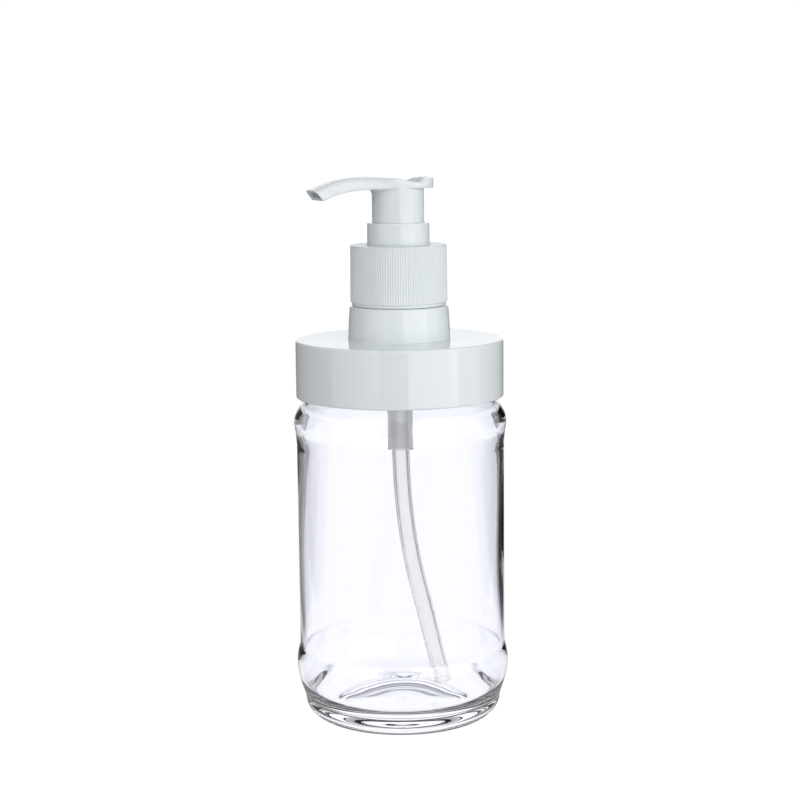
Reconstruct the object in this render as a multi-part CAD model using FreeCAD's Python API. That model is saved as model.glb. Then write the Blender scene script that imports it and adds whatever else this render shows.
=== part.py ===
import FreeCAD
import Part
import math
import os

# A pump dispenser for condiments: a glass jar, a wide screw lid with a raised neck, and a
# hand pump screwed onto that neck. Millimetres, +Z up, origin at the centre of the jar's
# base, spout towards -X.

Vector = FreeCAD.Vector
UP = Vector(0, 0, 1)
CENTRE = Vector(0, 0, 0)

# ---- driving dimensions -------------------------------------------------------------------
LID_RADIUS = 38.0
LID_BOTTOM = 119.7
LID_TOP = 140.7
BOSS_FOOT_RADIUS = 18.8
BOSS_TOP_RADIUS = 18.0
BOSS_TOP = 152.9
COLLAR_RADIUS = 17.6
COLLAR_TOP = 174.9
RING_RADIUS = 11.33
RING_TOP = 182.9
SKIRT_RADIUS = 9.5
HEAD_TOP = 199.6
STROKE = 9.8

# ---- jar ----------------------------------------------------------------------------------
JAR_BODY_RADIUS = 38.1
JAR_INNER_RADIUS = 36.4
HEEL_RADIUS = 39.35
SHOULDER_RADIUS = 39.0
FOOT_RADIUS = 36.6
BEARING_INNER = 25.5
BEARING_OUTER = 28.5
PUSH_UP = 3.0
FLOOR_THICKNESS = 3.2
JAR_THROAT_RADIUS = 35.7
JAR_RIM = 137.7
NECK_RADIUS = 33.7
MOUTH_RADIUS = 29.8

# ---- screw threads: both pairs have one pitch, so one helix serves a ridge and its mate ------
PITCH = 4.23
RIDGE_FOOT = 2.2
RIDGE_CREST = 1.2
RIDGE_STEP = 1.65
RIDGE_ROOT = 0.4
JAR_THREAD_CREST = 35.2
JAR_THREAD_START = 126.0
JAR_THREAD_TURNS = 1.25
LID_THREAD_CREST = 34.5
NECK_THREAD_CREST = 15.2
NECK_THREAD_START = 157.5
NECK_THREAD_TURNS = 1.5
COLLAR_THREAD_CREST = 14.6
MATE_TURNS = 1.0

# ---- lid ----------------------------------------------------------------------------------
LID_WALL = 1.8
LID_PLATE = 2.0
LID_EDGE = 1.0
BOSS_WALL = 2.2
PUMP_NECK_RADIUS = 14.2
PUMP_NECK_BORE = 12.3
PUMP_NECK_TOP = 169.6
LINER_INNER = 29.9
LINER_THICKNESS = 1.0

# ---- collar -------------------------------------------------------------------------------
COLLAR_GAP = 0.15
COLLAR_BORE = 15.75
COLLAR_HOLE = 11.65
COLLAR_PLATE = 2.3
RIB_COUNT = 120
RIB_DEPTH = 0.3
RIB_FOOT = 154.3
LIP_RADIUS = 17.15

# ---- lock ring, with a well that takes the head's skirt -------------------------------------
WELL_RADIUS = 9.75
RING_STEM_HOLE = 3.75
RING_LOWER_RADIUS = 10.8
RING_SEAT = 172.5
RING_FOOT = 165.6
WELL_FLOOR = 167.4
EDGE_ROUND = 0.5

# ---- pump housing -------------------------------------------------------------------------
GASKET_BOTTOM = 169.65
FLANGE_BOTTOM = 170.75
FLANGE_TOP = 172.45
FLANGE_RADIUS = 14.2
CUP_RADIUS = 12.1
CUP_BORE = 10.9
CUP_FLOOR = 164.4
CUP_UNDERSIDE = 162.8
CYLINDER_RADIUS = 7.3
CYLINDER_BORE = 6.0
CYLINDER_FOOT = 129.0
TAIL_RADIUS = 4.6
TAIL_TOP = 121.0
TAIL_BOTTOM = 100.9
TAIL_LIP = 0.2
INLET_CONE_TOP = 128.5
INLET_CONE_BOTTOM = 124.5
INLET_HOLE = 1.6
SUCTION_BORE = 2.6
SOCKET_BORE = 3.25
SOCKET_TOP = 108.6

# ---- dip tube -----------------------------------------------------------------------------
TUBE_RADIUS = 3.2
TUBE_BORE = 2.2
TUBE_TOP = 108.5
TUBE_BEND_START = 100.5
TUBE_BEND_RADIUS = 225.0
TUBE_LEAN = 13.5
TUBE_END_RUN = 38.6
TUBE_HEADING = -21.0

# ---- valves, spring and piston --------------------------------------------------------------
INLET_BALL_RADIUS = 2.4
INLET_BALL_Z = 126.36
CAGE_BOTTOM = 128.55
CAGE_STOP = 130.0
CAGE_LEDGE = 131.4
CAGE_TOP = 133.0
CAGE_RADIUS = 5.85
CAGE_BORE = 4.9
CAGE_EYE = 3.6
CAGE_BAR = 1.4
SPRING_BOTTOM = 133.05
SPRING_TOP = 154.85
SPRING_MEAN_RADIUS = 4.35
SPRING_WIRE = 0.9
SPRING_TURNS = 7.5
ROD_BOTTOM = 150.0
ROD_RADIUS = 2.95
ROD_BORE = 1.3
ROD_FOOT_RADIUS = 4.8
ROD_FOOT_BOTTOM = 154.9
ROD_FOOT_TOP = 156.15
SPIGOT_RADIUS = 2.15
SPIGOT_TOP = 174.0
PISTON_RADIUS = 5.95
PISTON_HUB = 3.0
PISTON_BOTTOM = 156.2
PISTON_TOP = 164.35
PISTON_WAIST = 5.2
SEAL_BOTTOM = 164.45
SEAL_TOP = 165.55
SEAL_RADIUS = 8.0
SEAL_HOLE = 3.45

# ---- stem and outlet valve ------------------------------------------------------------------
STEM_RADIUS = 3.4
STEM_BORE = 2.2
STEM_BOTTOM = 164.4
STEM_TOP = 191.0
STEM_SEAT_BOTTOM = 186.0
STEM_SEAT_HOLE = 1.2
STEM_CONE_BOTTOM = 186.8
STEM_CHAMBER = 2.4
OUTLET_BALL_RADIUS = 1.9
OUTLET_BALL_Z = 188.36

# ---- actuator head --------------------------------------------------------------------------
SKIRT_BOTTOM = 180.9
SKIRT_BORE = 8.3
SKIRT_CEILING = 192.2
SOCKET_RADIUS = 5.0
SOCKET_BOTTOM = 184.0
STEM_SOCKET = 3.42
STEM_SOCKET_TOP = 191.05
RISER_RADIUS = 1.7
PAD_CENTRE_X = 3.4
PAD_LENGTH = 9.85
PAD_WIDTH = 9.8
PAD_UNDERSIDE = 195.2
RIM_WIDTH = 1.1
DISH_FLOOR = 196.3
TIP_TOP = Vector(-34.15, 0, 195.25)
TIP_BOTTOM = Vector(-31.0, 0, 191.45)
GUSSET = 2.2
GUSSET_WIDTH = 7.0

# Spout sections from the axis to past the tip: distance along -X, underside, top, width.
SPOUT = [
    (1.0, 195.1, 197.4, 17.4),
    (6.0, 195.1, 199.3, 15.0),
    (11.5, 195.1, 199.6, 12.8),
    (16.0, 195.0, 199.65, 11.8),
    (21.0, 194.45, 199.3, 11.4),
    (27.0, 193.0, 197.95, 11.2),
    (31.5, 191.25, 196.25, 11.2),
    (36.0, 189.45, 194.5, 11.2),
]
# The same for the channel inside it.
CHANNEL = [
    (-1.6, 193.0, 195.2, 4.4),
    (3.0, 193.4, 195.7, 5.0),
    (8.0, 195.8, 198.0, 7.6),
    (13.0, 196.1, 198.5, 9.2),
    (20.0, 195.6, 198.4, 9.3),
    (27.0, 194.1, 196.9, 9.2),
    (32.0, 192.2, 195.0, 9.1),
    (37.0, 190.3, 193.0, 9.0),
]
# The pad's rim seen from the side: it falls from the spout's crest and turns up at the back.
RIM_LINE = [
    (-10.5, 199.75),
    (-6.3, 199.25),
    (-3.5, 198.95),
    (-1.4, 198.5),
    (1.3, 197.85),
    (5.0, 197.5),
    (7.5, 198.05),
    (9.2, 198.7),
    (11.8, 199.15),
    (13.2, 199.2),
    (16.0, 199.2),
]


# ---- helpers --------------------------------------------------------------------------------
def at(radius, height):
    """A point of a turned outline: its radius and its height."""
    return Vector(radius, 0, height)


def line(start, end):
    """A straight edge between two points."""
    return Part.LineSegment(start, end).toShape()


def smooth(points):
    """One smooth edge through a list of points."""
    curve = Part.BSplineCurve()
    curve.interpolate(points)
    return curve.toShape()


def turned(edges):
    """The solid that a closed outline of edges sweeps round the Z axis."""
    return Part.Face(Part.Wire(edges)).revolve(CENTRE, UP, 360)


def turned_outline(pairs):
    """A turned solid from the straight-sided outline through (radius, height) pairs."""
    points = [at(radius, height) for radius, height in pairs]
    return turned(Part.makePolygon(points + points[:1]).Edges)


def cylinder(radius, bottom, top):
    """An upright cylinder on the axis."""
    return Part.makeCylinder(radius, top - bottom, at(0, bottom), UP)


def ring(inner, outer, bottom, top):
    """An upright ring on the axis."""
    return cylinder(outer, bottom, top).cut(cylinder(inner, bottom, top))


def ridge(foot_radius, crest_radius, start, turns):
    """One helical thread ridge, rooted a little way into the wall that it stands on."""
    inwards = math.copysign(RIDGE_ROOT, crest_radius - foot_radius)
    half_foot = RIDGE_FOOT / 2
    half_crest = RIDGE_CREST / 2
    section = Part.makePolygon([
        at(foot_radius - inwards, start - half_foot),
        at(crest_radius, start - half_crest),
        at(crest_radius, start + half_crest),
        at(foot_radius - inwards, start + half_foot),
        at(foot_radius - inwards, start - half_foot),
    ])
    path = Part.Wire(Part.makeHelix(PITCH, PITCH * turns, foot_radius))
    path.translate(at(0, start))
    return path.makePipeShell([section], True, True)


def dome(distance, underside, top, width):
    """A D-shaped section across the spout: flat underneath, with a domed top."""
    half = width / 2
    rise = top - underside
    steps = [(1.0, 0.0), (0.97, 0.4), (0.68, 0.83), (0.0, 1.0)]
    right = [Vector(-distance, half * across, underside + rise * up) for across, up in steps]
    left = [Vector(point.x, -point.y, point.z) for point in reversed(right[:-1])]
    return Part.Wire([smooth(right + left), line(left[-1], right[0])])


def domed_loft(sections):
    """A solid through a row of D-shaped sections."""
    return Part.makeLoft([dome(*section) for section in sections], True, False)


# ---- jar --------------------------------------------------------------------------------------
def make_jar():
    underside_ring = at(BEARING_INNER, 0)
    bearing = at(BEARING_OUTER, 0)
    foot = at(FOOT_RADIUS, 8.6)
    heel_top = at(JAR_BODY_RADIUS, 27.0)
    shoulder_foot = at(JAR_BODY_RADIUS, 102.0)
    throat = at(JAR_THROAT_RADIUS, 117.6)
    neck_foot = at(NECK_RADIUS, 120.4)
    neck_top = at(NECK_RADIUS, JAR_RIM - 1.2)
    rim_outer = at(NECK_RADIUS - 1.0, JAR_RIM)
    rim_inner = at(MOUTH_RADIUS + 1.0, JAR_RIM)
    mouth_top = at(MOUTH_RADIUS, JAR_RIM - 1.2)
    mouth_foot = at(MOUTH_RADIUS, 123.5)
    inner_shoulder = at(JAR_INNER_RADIUS, 101.0)
    inner_heel = at(JAR_INNER_RADIUS, 27.0)
    floor_centre = at(0, PUSH_UP + FLOOR_THICKNESS)
    edges = [
        smooth([at(0, PUSH_UP), at(12, 2.5), at(21, 1.2), underside_ring]),
        line(underside_ring, bearing),
        smooth([bearing, at(32.6, 1.2), at(35.6, 4.2), foot]),
        smooth([foot, at(37.8, 12.0), at(39.0, 16.5), at(HEEL_RADIUS, 20.5),
                at(38.9, 24.3), heel_top]),
        line(heel_top, shoulder_foot),
        smooth([shoulder_foot, at(38.5, 106.5), at(SHOULDER_RADIUS, 110.4),
                at(38.3, 113.4), at(37.1, 115.6), throat]),
        line(throat, neck_foot),
        line(neck_foot, neck_top),
        smooth([neck_top, at(NECK_RADIUS - 0.3, JAR_RIM - 0.35), rim_outer]),
        line(rim_outer, rim_inner),
        smooth([rim_inner, at(MOUTH_RADIUS + 0.3, JAR_RIM - 0.35), mouth_top]),
        line(mouth_top, mouth_foot),
        smooth([mouth_foot, at(30.4, 121.6), at(31.9, 119.6), at(33.9, 117.2), at(35.9, 114.4),
                at(36.9, 110.6), at(36.85, 106.0), inner_shoulder]),
        line(inner_shoulder, inner_heel),
        smooth([inner_heel, at(37.1, 23.5), at(37.4, 19.5), at(37.0, 15.5), at(35.6, 11.8),
                at(33.0, 8.9), at(29.5, 6.8), at(24.0, 5.5), at(18.0, 5.3), at(9.0, 5.9),
                floor_centre]),
        line(floor_centre, at(0, PUSH_UP)),
    ]
    jar = turned(edges)
    return jar.fuse(ridge(NECK_RADIUS, JAR_THREAD_CREST, JAR_THREAD_START, JAR_THREAD_TURNS))


# ---- lid --------------------------------------------------------------------------------------
def make_lid():
    inner = LID_RADIUS - LID_WALL
    ceiling = LID_TOP - LID_PLATE
    boss_bore = BOSS_FOOT_RADIUS - BOSS_WALL
    boss_ceiling = BOSS_TOP - LID_PLATE
    lid = turned_outline([
        (inner, LID_BOTTOM),
        (LID_RADIUS - 0.5, LID_BOTTOM),
        (LID_RADIUS, LID_BOTTOM + 0.5),
        (LID_RADIUS, LID_TOP - LID_EDGE),
        (LID_RADIUS - 0.3, LID_TOP - 0.3),
        (LID_RADIUS - LID_EDGE, LID_TOP),
        (BOSS_FOOT_RADIUS, LID_TOP + 0.1),
        (BOSS_TOP_RADIUS, BOSS_TOP - LID_EDGE),
        (BOSS_TOP_RADIUS - LID_EDGE, BOSS_TOP),
        (PUMP_NECK_RADIUS, BOSS_TOP),
        (PUMP_NECK_RADIUS, PUMP_NECK_TOP),
        (PUMP_NECK_BORE, PUMP_NECK_TOP),
        (PUMP_NECK_BORE, boss_ceiling),
        (boss_bore - 0.6, boss_ceiling),
        (boss_bore, ceiling),
        (inner, ceiling),
    ])
    jar_mate = ridge(inner, LID_THREAD_CREST, JAR_THREAD_START - RIDGE_STEP, MATE_TURNS)
    pump_thread = ridge(PUMP_NECK_RADIUS, NECK_THREAD_CREST, NECK_THREAD_START,
                        NECK_THREAD_TURNS)
    return lid.fuse([jar_mate, pump_thread])


def make_lid_liner():
    top = LID_TOP - LID_PLATE - 0.05
    return ring(LINER_INNER, LID_RADIUS - LID_WALL - 0.3, top - LINER_THICKNESS + 0.05, top)


# ---- collar -----------------------------------------------------------------------------------
def ribbed_band():
    """The collar's outside: a many-pointed star drawn straight up."""
    points = []
    for index in range(2 * RIB_COUNT):
        radius = COLLAR_RADIUS if index % 2 == 0 else COLLAR_RADIUS - RIB_DEPTH
        angle = math.pi * index / RIB_COUNT
        points.append(Vector(radius * math.cos(angle), radius * math.sin(angle), RIB_FOOT))
    star = Part.Face(Part.makePolygon(points + points[:1]))
    band = star.extrude(at(0, COLLAR_TOP - RIB_FOOT))
    rounding = turned_outline([
        (0, RIB_FOOT),
        (COLLAR_RADIUS + 1, RIB_FOOT),
        (COLLAR_RADIUS + 1, COLLAR_TOP - 1.5),
        (COLLAR_RADIUS, COLLAR_TOP - EDGE_ROUND),
        (COLLAR_RADIUS - EDGE_ROUND, COLLAR_TOP),
        (0, COLLAR_TOP),
    ])
    return band.common(rounding)


def make_collar():
    bottom = BOSS_TOP + COLLAR_GAP
    outside = ribbed_band().fuse(cylinder(LIP_RADIUS, bottom, RIB_FOOT + EDGE_ROUND))
    hollow = cylinder(COLLAR_BORE, bottom, COLLAR_TOP - COLLAR_PLATE)
    shell = outside.cut([hollow, cylinder(COLLAR_HOLE, bottom, COLLAR_TOP)])
    return shell.fuse(ridge(COLLAR_BORE, COLLAR_THREAD_CREST, NECK_THREAD_START - RIDGE_STEP,
                            MATE_TURNS))


# ---- fixed pump parts -------------------------------------------------------------------------
def make_housing_gasket():
    return ring(CUP_RADIUS + 0.05, FLANGE_RADIUS, GASKET_BOTTOM, FLANGE_BOTTOM)


def make_lock_ring():
    return turned_outline([
        (RING_LOWER_RADIUS, RING_FOOT),
        (RING_LOWER_RADIUS, RING_SEAT),
        (RING_RADIUS, RING_SEAT),
        (RING_RADIUS, RING_TOP - EDGE_ROUND),
        (RING_RADIUS - EDGE_ROUND, RING_TOP),
        (WELL_RADIUS + 0.2, RING_TOP),
        (WELL_RADIUS, RING_TOP - 0.2),
        (WELL_RADIUS, WELL_FLOOR),
        (RING_STEM_HOLE, WELL_FLOOR),
        (RING_STEM_HOLE, RING_FOOT),
    ])


def make_stem_seal():
    return ring(SEAL_HOLE, SEAL_RADIUS, SEAL_BOTTOM, SEAL_TOP)


def make_pump_housing():
    return turned_outline([
        (SOCKET_BORE, TAIL_BOTTOM),
        (TAIL_RADIUS + TAIL_LIP, TAIL_BOTTOM),
        (TAIL_RADIUS + TAIL_LIP, TAIL_BOTTOM + 0.8),
        (TAIL_RADIUS, TAIL_BOTTOM + 1.2),
        (TAIL_RADIUS, TAIL_TOP),
        (CYLINDER_RADIUS, CYLINDER_FOOT),
        (CYLINDER_RADIUS, CUP_UNDERSIDE),
        (CUP_RADIUS - 1.0, CUP_UNDERSIDE),
        (CUP_RADIUS, CUP_UNDERSIDE + 1.0),
        (CUP_RADIUS, FLANGE_BOTTOM),
        (FLANGE_RADIUS, FLANGE_BOTTOM),
        (FLANGE_RADIUS, FLANGE_TOP),
        (CUP_BORE, FLANGE_TOP),
        (CUP_BORE, CUP_FLOOR),
        (CYLINDER_BORE, CUP_FLOOR),
        (CYLINDER_BORE, INLET_CONE_TOP),
        (INLET_HOLE, INLET_CONE_BOTTOM),
        (INLET_HOLE, INLET_CONE_BOTTOM - 1.0),
        (SUCTION_BORE, INLET_CONE_BOTTOM - 2.0),
        (SUCTION_BORE, SOCKET_TOP),
        (SOCKET_BORE, SOCKET_TOP),
    ])


def make_dip_tube():
    """A tube that hangs straight out of its socket, bends gently, then runs straight."""
    lean = math.radians(TUBE_LEAN)
    heading = Vector(math.cos(math.radians(TUBE_HEADING)), math.sin(math.radians(TUBE_HEADING)), 0)

    def on_bend(angle):
        across = TUBE_BEND_RADIUS * (1 - math.cos(angle))
        drop = TUBE_BEND_RADIUS * math.sin(angle)
        return heading * across + at(0, TUBE_BEND_START - drop)

    top = at(0, TUBE_TOP)
    bend_end = on_bend(lean)
    tip = bend_end + (heading * math.sin(lean) - UP * math.cos(lean)) * TUBE_END_RUN
    path = Part.Wire([
        line(top, on_bend(0)),
        Part.Arc(on_bend(0), on_bend(lean / 2), bend_end).toShape(),
        line(bend_end, tip),
    ])

    def swept(radius):
        section = Part.Wire(Part.makeCircle(radius, top, UP))
        return path.makePipeShell([section], True, True)

    return swept(TUBE_RADIUS).cut(swept(TUBE_BORE))


# ---- valves, spring and piston ------------------------------------------------------------------
def make_ball_cage():
    cage = ring(CAGE_BORE, CAGE_RADIUS, CAGE_BOTTOM, CAGE_TOP)
    ledge = ring(CAGE_EYE, CAGE_RADIUS, CAGE_LEDGE, CAGE_TOP)
    span = 2 * (CAGE_RADIUS - EDGE_ROUND)
    bar = Part.makeBox(span, CAGE_BAR, CAGE_LEDGE - CAGE_STOP,
                       Vector(-span / 2, -CAGE_BAR / 2, CAGE_STOP))
    cross_bar = bar.copy()
    cross_bar.rotate(CENTRE, UP, 90)
    return cage.fuse([ledge, bar, cross_bar])


def make_return_spring():
    half_wire = SPRING_WIRE / 2
    height = SPRING_TOP - SPRING_BOTTOM - SPRING_WIRE
    start = Vector(SPRING_MEAN_RADIUS, 0, SPRING_BOTTOM + half_wire)
    path = Part.Wire(Part.makeHelix(height / SPRING_TURNS, height, SPRING_MEAN_RADIUS))
    path.translate(at(0, SPRING_BOTTOM + half_wire))
    section = Part.Wire(Part.makeCircle(half_wire, start, Vector(0, 1, 0)))
    return path.makePipeShell([section], True, True)


def make_piston_rod():
    return turned_outline([
        (ROD_BORE, ROD_BOTTOM),
        (ROD_RADIUS, ROD_BOTTOM),
        (ROD_RADIUS, ROD_FOOT_BOTTOM),
        (ROD_FOOT_RADIUS, ROD_FOOT_BOTTOM),
        (ROD_FOOT_RADIUS, ROD_FOOT_TOP),
        (ROD_RADIUS, ROD_FOOT_TOP),
        (ROD_RADIUS, STEM_BOTTOM - 0.05),
        (SPIGOT_RADIUS, STEM_BOTTOM - 0.05),
        (SPIGOT_RADIUS, SPIGOT_TOP),
        (ROD_BORE, SPIGOT_TOP),
    ])


def make_piston_seal():
    lip = 1.2
    return turned_outline([
        (PISTON_HUB, PISTON_BOTTOM),
        (PISTON_WAIST, PISTON_BOTTOM),
        (PISTON_RADIUS, PISTON_BOTTOM + 0.3),
        (PISTON_RADIUS, PISTON_BOTTOM + lip),
        (PISTON_WAIST, PISTON_BOTTOM + 2 * lip),
        (PISTON_WAIST, PISTON_TOP - 2 * lip),
        (PISTON_RADIUS, PISTON_TOP - lip),
        (PISTON_RADIUS, PISTON_TOP),
        (PISTON_HUB, PISTON_TOP),
    ])


def make_ball(radius, height):
    return Part.makeSphere(radius, at(0, height))


def make_pump_stem():
    return turned_outline([
        (STEM_BORE, STEM_BOTTOM),
        (STEM_RADIUS, STEM_BOTTOM),
        (STEM_RADIUS, STEM_TOP),
        (STEM_CHAMBER, STEM_TOP),
        (STEM_CHAMBER, STEM_CONE_BOTTOM + STEM_CHAMBER - STEM_SEAT_HOLE),
        (STEM_SEAT_HOLE, STEM_CONE_BOTTOM),
        (STEM_SEAT_HOLE, STEM_SEAT_BOTTOM),
        (STEM_BORE, STEM_SEAT_BOTTOM),
    ])


# ---- actuator head ------------------------------------------------------------------------------
def make_pad():
    """The oval thumb pad, before its rim line and dish are cut."""
    oval = Part.Ellipse(Vector(PAD_CENTRE_X, 0, PAD_UNDERSIDE), PAD_LENGTH, PAD_WIDTH)
    return Part.Face(Part.Wire(oval.toShape())).extrude(at(0, HEAD_TOP + 1 - PAD_UNDERSIDE))


def above_rim():
    """Everything above the pad's rim line."""
    points = [Vector(x, -2 * PAD_WIDTH, z) for x, z in RIM_LINE]
    lift = at(0, 5)
    outline = [
        smooth(points),
        line(points[-1], points[-1] + lift),
        line(points[-1] + lift, points[0] + lift),
        line(points[0] + lift, points[0]),
    ]
    return Part.Face(Part.Wire(outline)).extrude(Vector(0, 4 * PAD_WIDTH, 0))


def dish():
    """The hollow for the thumb: a flattened ball as wide as the pad within its rim."""
    length = PAD_LENGTH - RIM_WIDTH
    rim_height = 198.4
    ball = Part.makeSphere(1.0)
    shape = FreeCAD.Matrix()
    shape.scale(Vector(length, PAD_WIDTH - RIM_WIDTH, rim_height - DISH_FLOOR))
    shape.move(Vector(PAD_CENTRE_X + 0.2, 0, rim_height))
    return ball.transformGeometry(shape)


def gusset():
    """The curved web where the spout's underside runs down into the skirt."""
    wall = SKIRT_RADIUS - 1.0
    inner_top = Vector(-wall, -GUSSET_WIDTH / 2, PAD_UNDERSIDE + 0.5)
    outer_top = inner_top + Vector(-GUSSET - 1.0, 0, 0)
    outer = outer_top + at(0, -0.7)
    inner = inner_top + at(0, -GUSSET - 0.7)
    skirt_face = inner + Vector(-1.0, 0, 0)
    hollow = skirt_face + Vector(-0.3 * GUSSET, 0, 0.7 * GUSSET)
    outline = [
        line(inner_top, outer_top),
        line(outer_top, outer),
        Part.Arc(outer, hollow, skirt_face).toShape(),
        line(skirt_face, inner),
        line(inner, inner_top),
    ]
    return Part.Face(Part.Wire(outline)).extrude(Vector(0, GUSSET_WIDTH, 0))


def beyond_tip():
    """Everything past the slanted end of the spout."""
    reach = 12.0
    slope = (TIP_TOP - TIP_BOTTOM) * 3
    corners = [
        TIP_BOTTOM - slope,
        TIP_TOP + slope,
        TIP_TOP + slope + Vector(-reach, 0, 0),
        TIP_BOTTOM - slope + Vector(-reach, 0, 0),
    ]
    corners = [corner + Vector(0, -reach, 0) for corner in corners]
    face = Part.Face(Part.makePolygon(corners + corners[:1]))
    return face.extrude(Vector(0, 2 * reach, 0))


def make_actuator_head():
    skirt = cylinder(SKIRT_RADIUS, SKIRT_BOTTOM, PAD_UNDERSIDE + 0.5)
    skirt = skirt.cut(cylinder(SKIRT_BORE, SKIRT_BOTTOM, SKIRT_CEILING))
    socket = cylinder(SOCKET_RADIUS, SOCKET_BOTTOM, SKIRT_CEILING + 0.5)
    pad = make_pad().cut([above_rim(), dish()])
    spout = domed_loft(SPOUT).cut([beyond_tip(), dish(), above_rim()])
    head = pad.fuse([skirt, socket, spout, gusset()])
    return head.cut([
        cylinder(STEM_SOCKET, SOCKET_BOTTOM, STEM_SOCKET_TOP),
        cylinder(RISER_RADIUS, STEM_SOCKET_TOP, CHANNEL[1][1] + 0.8),
        domed_loft(CHANNEL),
    ])


# ---- the whole dispenser ------------------------------------------------------------------------
PARTS = {
    "jar": make_jar,
    "lid": make_lid,
    "lid_liner": make_lid_liner,
    "collar": make_collar,
    "housing_gasket": make_housing_gasket,
    "lock_ring": make_lock_ring,
    "stem_seal": make_stem_seal,
    "pump_housing": make_pump_housing,
    "dip_tube": make_dip_tube,
    "ball_cage": make_ball_cage,
    "inlet_ball": lambda: make_ball(INLET_BALL_RADIUS, INLET_BALL_Z),
    "return_spring": make_return_spring,
    "piston_rod": make_piston_rod,
    "piston_seal": make_piston_seal,
    "pump_stem": make_pump_stem,
    "discharge_ball": lambda: make_ball(OUTLET_BALL_RADIUS, OUTLET_BALL_Z),
    "actuator_head": make_actuator_head,
}


def main():
    os.makedirs("parts", exist_ok=True)
    for node, make in PARTS.items():
        shape = make()
        solids = shape.Solids
        volume = sum(solid.Volume for solid in solids) / 1000
        box = shape.BoundBox
        print(f"{node:15s} solids {len(solids)} valid {shape.isValid()} {volume:7.3f} cm3 "
              f"z {box.ZMin:.2f} to {box.ZMax:.2f}")
        shape.exportStep(f"parts/{node}.step")


main()
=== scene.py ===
"""Looks of a condiment pump dispenser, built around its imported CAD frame.

Every length below is in millimetres in the CAD frame (+Z up, jar axis on Z, spout towards -X)
and is turned into metres when a mesh is made.
"""

import logging
import math
from dataclasses import dataclass
from enum import Enum
from typing import Callable, Optional, Sequence

import bmesh
import bpy
import numpy as np
from mathutils import Matrix, Vector


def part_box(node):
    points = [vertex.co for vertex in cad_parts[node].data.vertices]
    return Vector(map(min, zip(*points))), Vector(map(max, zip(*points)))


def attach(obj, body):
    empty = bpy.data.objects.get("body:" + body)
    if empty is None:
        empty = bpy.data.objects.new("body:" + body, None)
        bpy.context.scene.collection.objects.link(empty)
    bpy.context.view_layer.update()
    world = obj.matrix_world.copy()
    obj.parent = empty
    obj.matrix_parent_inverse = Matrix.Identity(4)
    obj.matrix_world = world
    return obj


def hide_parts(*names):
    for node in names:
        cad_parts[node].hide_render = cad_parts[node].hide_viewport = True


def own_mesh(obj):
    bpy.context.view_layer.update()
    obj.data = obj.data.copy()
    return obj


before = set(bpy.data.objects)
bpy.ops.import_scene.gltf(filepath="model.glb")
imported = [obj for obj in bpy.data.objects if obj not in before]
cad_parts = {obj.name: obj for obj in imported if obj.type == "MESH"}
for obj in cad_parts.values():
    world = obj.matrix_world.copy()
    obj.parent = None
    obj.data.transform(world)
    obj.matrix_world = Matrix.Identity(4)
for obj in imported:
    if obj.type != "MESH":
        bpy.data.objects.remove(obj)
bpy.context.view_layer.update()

MM = 0.001
FULL_TURN = 2 * math.pi
CREASE_DEG = 38.0
ON_WALL = 0.02
LOG = logging.getLogger("dispenser")

Point = tuple[float, float]
Corner = tuple[float, ...]
Colour = tuple[float, float, float]
Shift = Callable[[np.ndarray, float, float], np.ndarray]


# ---- geometry helpers ----
def rounded(corners: Sequence[Corner], closed: bool = True, steps: int = 6) -> list[Point]:
    """Turns corners into outline points, with an arc at each rounded corner.

    Args:
        corners: Each corner's radius and height, and the radius that rounds it if it has one.
        closed: Whether the last corner joins the first.
        steps: How many steps each arc has.

    Returns:
        The outline as (radius, height) pairs.
    """
    longest = 0.48
    points: list[Point] = []
    spots = [Vector(corner[:2]) for corner in corners]
    last = len(corners) - 1
    for index, (here, corner) in enumerate(zip(spots, corners)):
        rounding = corner[2] if len(corner) > 2 else 0.0
        if rounding <= 0 or (not closed and index in (0, last)):
            points.append((here.x, here.y))
            continue
        before = spots[index - 1] - here
        after = spots[(index + 1) % len(spots)] - here
        reach = min(rounding / math.tan(before.angle(after) / 2), longest * before.length,
                    longest * after.length)
        start = here + before.normalized() * reach
        end = here + after.normalized() * reach
        for step in range(steps + 1):
            t = step / steps
            spot = start * (1 - t) ** 2 + here * (2 * t * (1 - t)) + end * t ** 2
            points.append((spot.x, spot.y))
    return points


def flowing(points: Sequence[Point], step: float = 0.6) -> list[Point]:
    """Samples a smooth curve through a few points.

    Args:
        points: The points that the curve passes through.
        step: The longest distance between samples.

    Returns:
        The samples, with both ends kept.
    """
    nodes = [Vector(points[0])] + [Vector(p) for p in points] + [Vector(points[-1])]
    nodes[0] = nodes[1] * 2 - nodes[2]
    nodes[-1] = nodes[-2] * 2 - nodes[-3]
    samples: list[Point] = []
    for a, b, c, d in zip(nodes, nodes[1:], nodes[2:], nodes[3:]):
        count = max(2, math.ceil((c - b).length / step))
        for index in range(count):
            t = index / count
            spot = 0.5 * ((b * 2) + (c - a) * t + (a * 2 - b * 5 + c * 4 - d) * t ** 2
                          + (b * 3 - a - c * 3 + d) * t ** 3)
            samples.append((spot.x, spot.y))
    samples.append(tuple(points[-1]))
    return samples


def divided(points: Sequence[Point], step: float, closed: bool) -> list[Point]:
    """Adds points so that no run of an outline is longer than a step.

    Args:
        points: The outline.
        step: The longest run allowed.
        closed: Whether the outline closes on itself.

    Returns:
        The outline with its long runs divided.
    """
    result: list[Point] = []
    pairs = list(zip(points, list(points[1:]) + [points[0]]))
    for (r0, z0), (r1, z1) in pairs if closed else pairs[:-1]:
        count = max(1, math.ceil(math.hypot(r1 - r0, z1 - z0) / step))
        result += [(r0 + (r1 - r0) * i / count, z0 + (z1 - z0) * i / count)
                   for i in range(count)]
    if not closed:
        result.append(tuple(points[-1]))
    return result


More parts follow.
